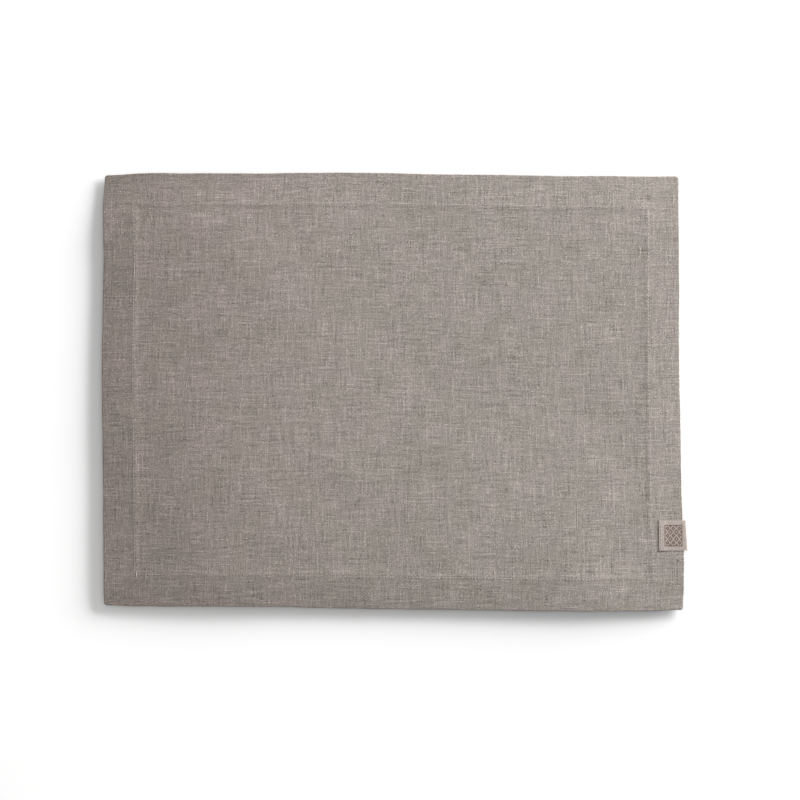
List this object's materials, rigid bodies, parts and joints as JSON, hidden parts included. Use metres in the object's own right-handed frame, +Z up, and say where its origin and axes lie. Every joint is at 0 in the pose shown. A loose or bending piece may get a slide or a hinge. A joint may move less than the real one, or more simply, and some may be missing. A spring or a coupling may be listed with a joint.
{
  "type": "fabric placemat",
  "caption": "Rectangular natural cloth placemat with a wide stitched hem and a small folded tape label on its right edge.",
  "frame": {"origin": "on the table, under the middle of the mat and its label", "axes": "+X to the right along the long side, +Y to the back, +Z up"},
  "size_m": [0.4876, 0.3652, 0.0058],
  "materials": {
    "linen": "matt plain weave with slubs",
    "label_tape": "matt woven tape"
  },
  "bodies": {
    "root": {"mat_cloth": "linen", "label_tape": "label_tape"}
  },
  "joints": []
}
